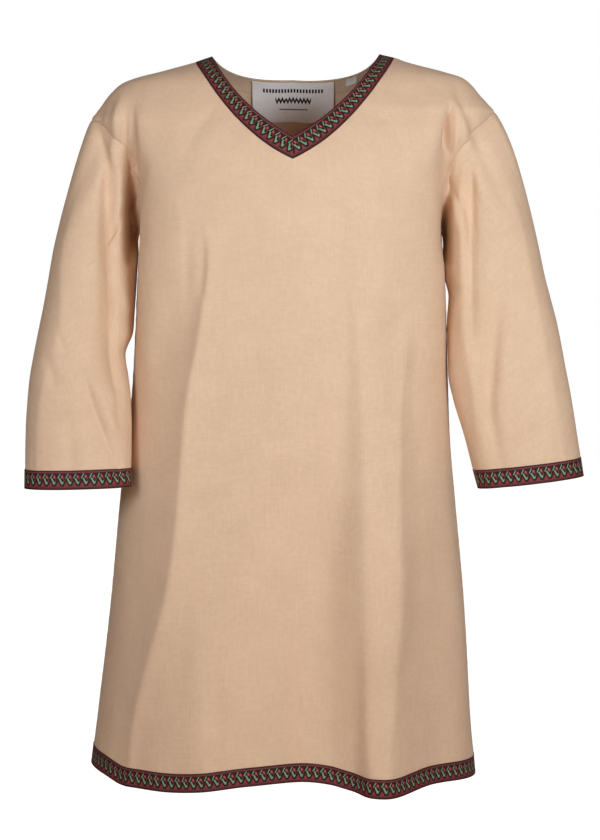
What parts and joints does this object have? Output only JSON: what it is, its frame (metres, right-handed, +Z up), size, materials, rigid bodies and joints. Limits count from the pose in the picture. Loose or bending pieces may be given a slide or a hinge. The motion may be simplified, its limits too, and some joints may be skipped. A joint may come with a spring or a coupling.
{
  "type": "viking tunic",
  "caption": "Long-sleeved pullover tunic in plain woven cotton, filled out as worn, with a V neck and patterned braid at neck, cuffs and hem.",
  "frame": {"origin": "middle of the neck, level with the neck ends of the shoulder seams, where the wearer's shoulders hold the tunic up", "axes": "+Z up from the hem to the shoulders, +X to the viewer's right (the wearer's left), -Y out of the front of the tunic"},
  "size_m": [0.6592, 0.2954, 0.8652],
  "materials": {
    "sand_cotton": "matte plain-weave cotton",
    "woven_braid": "jacquard ribbon with a slight sheen",
    "label_tape": "satin woven tape"
  },
  "bodies": {
    "root": {"front_panel": "sand_cotton", "back_panel": "sand_cotton", "left_sleeve": "sand_cotton", "right_sleeve": "sand_cotton", "neck_braid_long": "woven_braid", "neck_braid_short": "woven_braid", "hem_braid": "woven_braid", "cuff_braid_left": "woven_braid", "cuff_braid_right": "woven_braid", "neck_label": "label_tape", "size_tab": "label_tape"}
  },
  "joints": []
}
